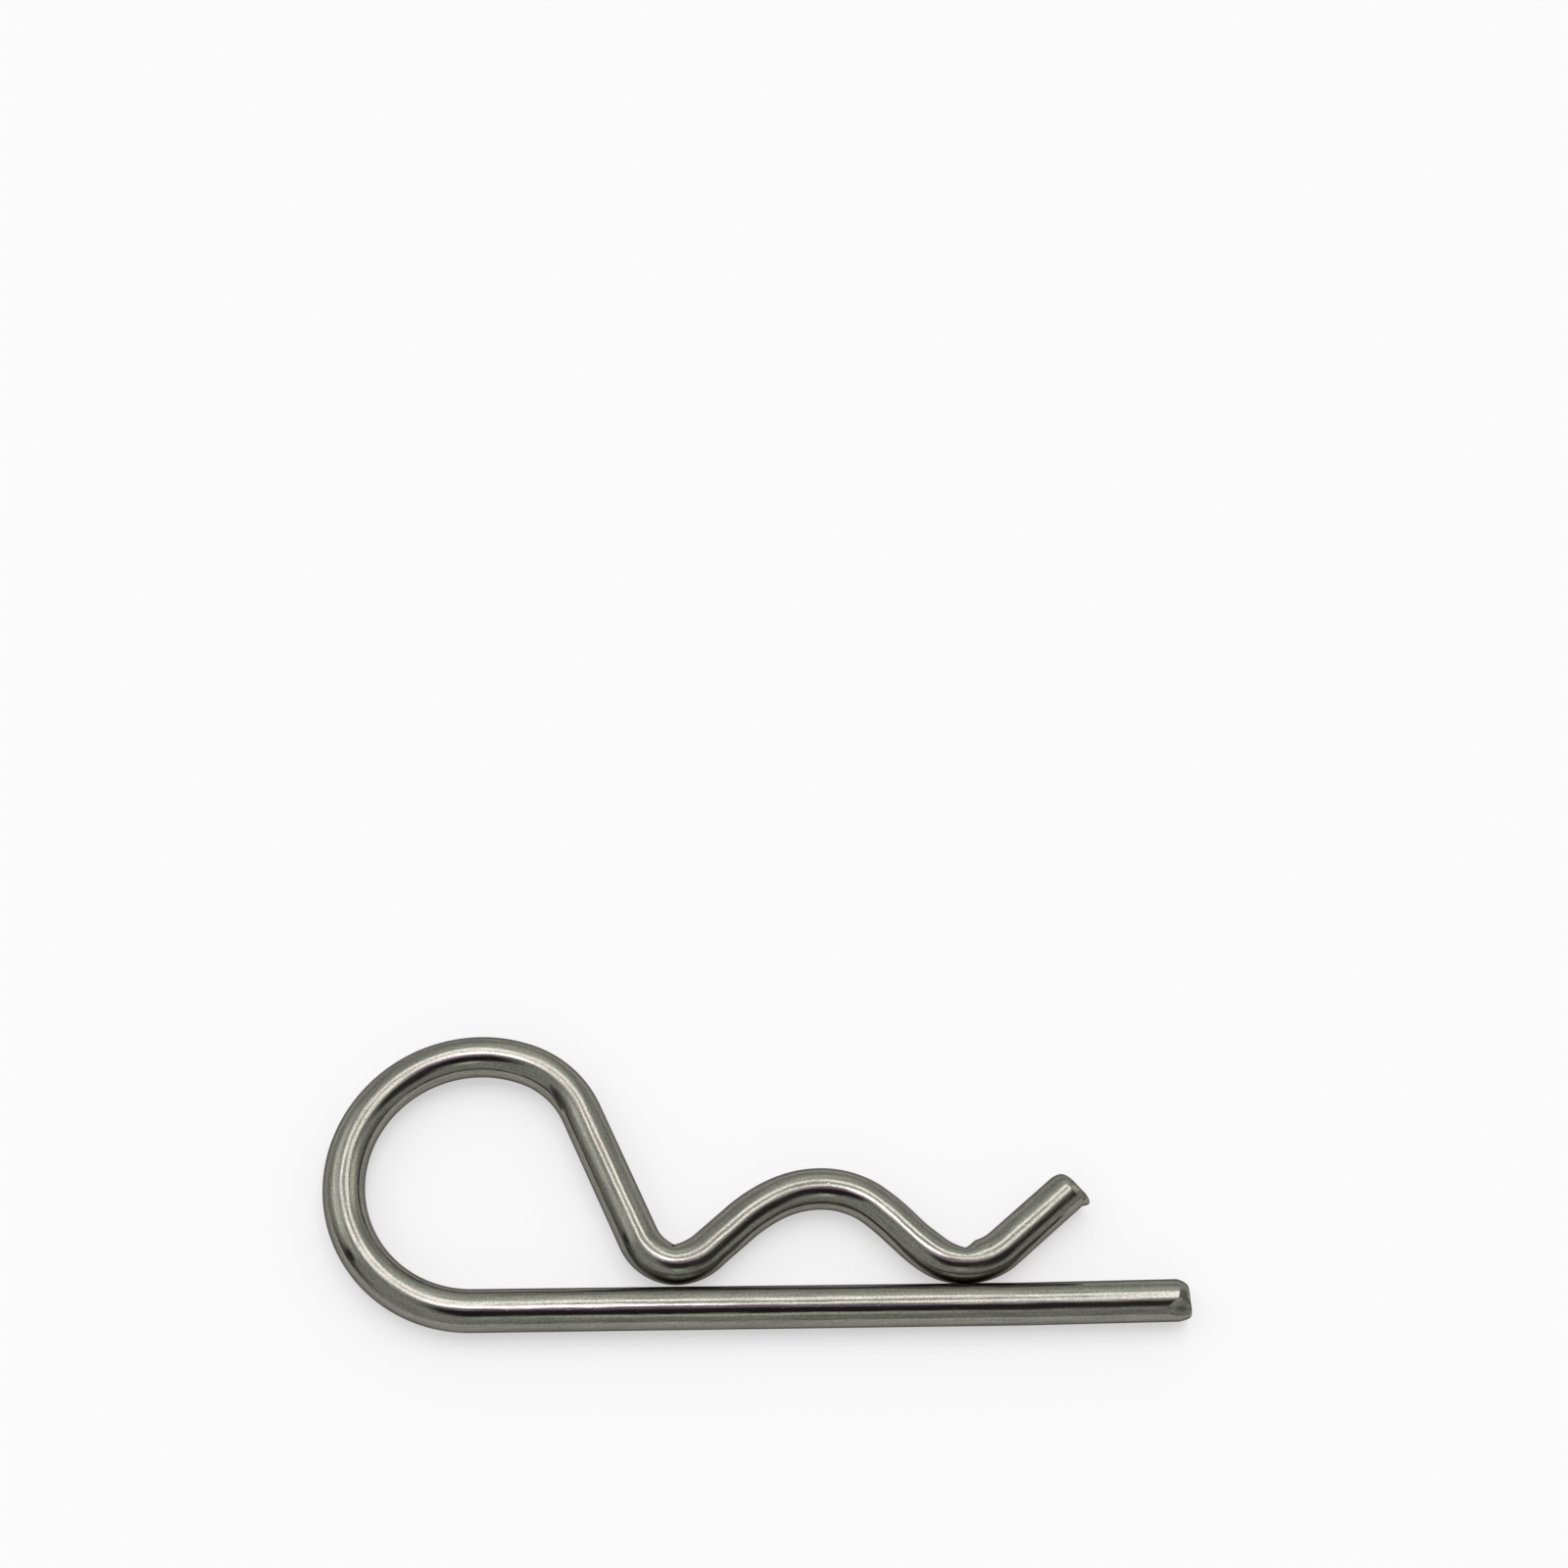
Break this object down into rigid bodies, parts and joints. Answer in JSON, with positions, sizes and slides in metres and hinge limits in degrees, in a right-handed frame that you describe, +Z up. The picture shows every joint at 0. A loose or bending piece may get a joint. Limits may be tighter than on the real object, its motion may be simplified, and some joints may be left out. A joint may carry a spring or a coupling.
{
  "type": "hitch r clip pin",
  "caption": "Hitch R clip pin bent from round steel wire: a straight leg, a round bow, and a waved spring leg that grips a shaft.",
  "frame": {"origin": "middle of the clip's box, on the surface that it lies on", "axes": "+X along the straight leg towards its free end, +Y from the straight leg towards the waved leg, +Z up, square to the clip's plane"},
  "size_m": [0.0828, 0.0292, 0.004],
  "materials": {
    "stainless_wire": "bright drawn stainless steel wire, with fine drawing lines along it and light tool marks in its bends"
  },
  "bodies": {
    "root": {"clip_wire": "stainless_wire"}
  },
  "joints": []
}
